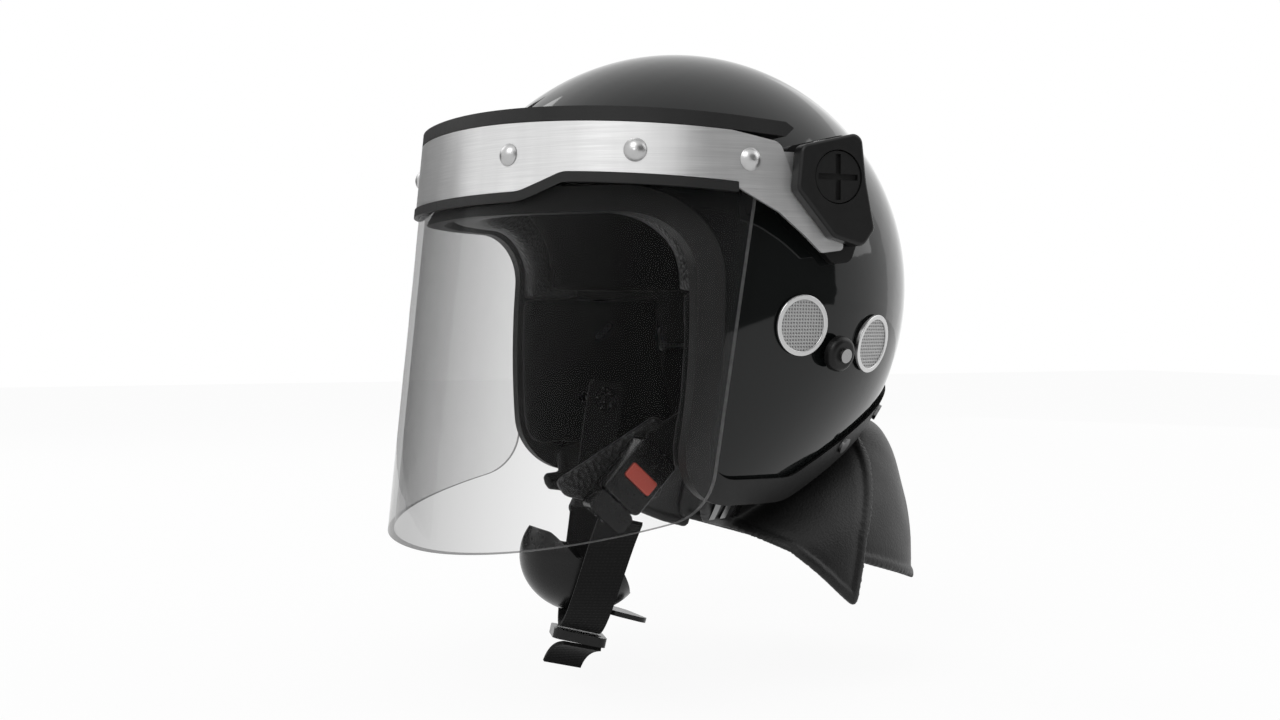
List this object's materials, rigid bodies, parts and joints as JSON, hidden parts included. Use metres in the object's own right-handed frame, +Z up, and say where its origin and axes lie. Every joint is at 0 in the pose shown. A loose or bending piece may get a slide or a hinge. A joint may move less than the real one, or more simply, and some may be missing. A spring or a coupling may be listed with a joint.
{
  "type": "riot helmet",
  "caption": "Full-coverage protective helmet with a lifting clear face shield, padded lining, hanging neck guard and a chin strap with a cup and a push-button buckle.",
  "frame": {"origin": "centre of the wearer's head inside the shell, where the helmet is held", "axes": "+Z up through the crown, -Y towards the face, +X to the wearer's left"},
  "size_m": [0.262, 0.2656, 0.3032],
  "materials": {
    "shell": "deep gloss paint over fibre laminate",
    "trim_rubber": "matt",
    "foam": "expanded foam",
    "leather": "grained",
    "lining_cloth": "brushed cloth",
    "guard_leather": "smooth coated",
    "vent_ring": "satin",
    "vent_mesh": "woven",
    "stud_rubber": "moulded",
    "screw_steel": "plated",
    "pivot_plastic": "satin moulded",
    "washer_nylon": "smooth",
    "band_steel": "brushed",
    "visor_clear": "clear polycarbonate",
    "rivet_steel": "satin",
    "snap_steel": "plated",
    "webbing": "woven",
    "buckle_plastic": "moulded",
    "button_red": "moulded",
    "spring_steel": "rolled"
  },
  "bodies": {
    "helmet": {"brow_roll": "leather", "crown_pad": "lining_cloth", "edge_trim": "trim_rubber", "guard_clips": "snap_steel", "guard_snaps": "snap_steel", "head_lining": "lining_cloth", "impact_liner": "foam", "left_cheek_pad": "lining_cloth", "left_front_vent_mesh": "vent_mesh", "left_front_vent_rim": "vent_ring", "left_guard_flap": "guard_leather", "left_mask_stud": "stud_rubber", "left_pivot_base": "pivot_plastic", "left_pivot_cover": "pivot_plastic", "left_pivot_screw": "pivot_plastic", "left_pivot_washer": "washer_nylon", "left_rear_vent_mesh": "vent_mesh", "left_rear_vent_rim": "vent_ring", "left_strap_anchor": "screw_steel", "left_stud_screw": "screw_steel", "nape_pad": "lining_cloth", "outer_shell": "shell", "rear_guard": "guard_leather", "right_cheek_pad": "lining_cloth", "right_front_vent_mesh": "vent_mesh", "right_front_vent_rim": "vent_ring", "right_guard_flap": "guard_leather", "right_mask_stud": "stud_rubber", "right_pivot_base": "pivot_plastic", "right_pivot_cover": "pivot_plastic", "right_pivot_screw": "pivot_plastic", "right_pivot_washer": "washer_nylon", "right_rear_vent_mesh": "vent_mesh", "right_rear_vent_rim": "vent_ring", "right_strap_anchor": "screw_steel", "right_stud_screw": "screw_steel"},
    "visor": {"visor_lens": "visor_clear", "visor_band": "band_steel", "band_rivets": "rivet_steel", "top_seal": "trim_rubber", "lower_gasket": "trim_rubber", "left_pivot_bracket": "band_steel", "right_pivot_bracket": "band_steel"},
    "chin_strap": {"left_side_strap": "webbing", "right_side_strap": "webbing", "lower_strap": "webbing", "strap_tail": "webbing", "left_strap_flap": "leather", "right_strap_pad": "leather", "buckle_housing": "buckle_plastic", "buckle_tongue": "buckle_plastic", "button_spring": "spring_steel", "chin_cup": "buckle_plastic", "ladder_lock": "buckle_plastic"},
    "button": {"buckle_button": "button_red"}
  },
  "joints": [
    {"name": "visor_lift", "type": "hinge", "parent": "helmet", "child": "visor", "pos_m": [0, 0.028, 0.053], "axis": [-1, 0, 0], "range_deg": [0, 70]},
    {"name": "chin_strap_swing", "type": "hinge", "parent": "helmet", "child": "chin_strap", "pos_m": [0, 0.002, -0.05], "axis": [-1, 0, 0], "range_deg": [0, 20]},
    {"name": "buckle_button_press", "type": "slide", "parent": "chin_strap", "child": "button", "axis": [-1, 0, 0], "range_m": [0, 0.0018], "stiffness_N_per_m": 600, "springref_m": -0.001, "deforming": ["button_spring"]}
  ]
}
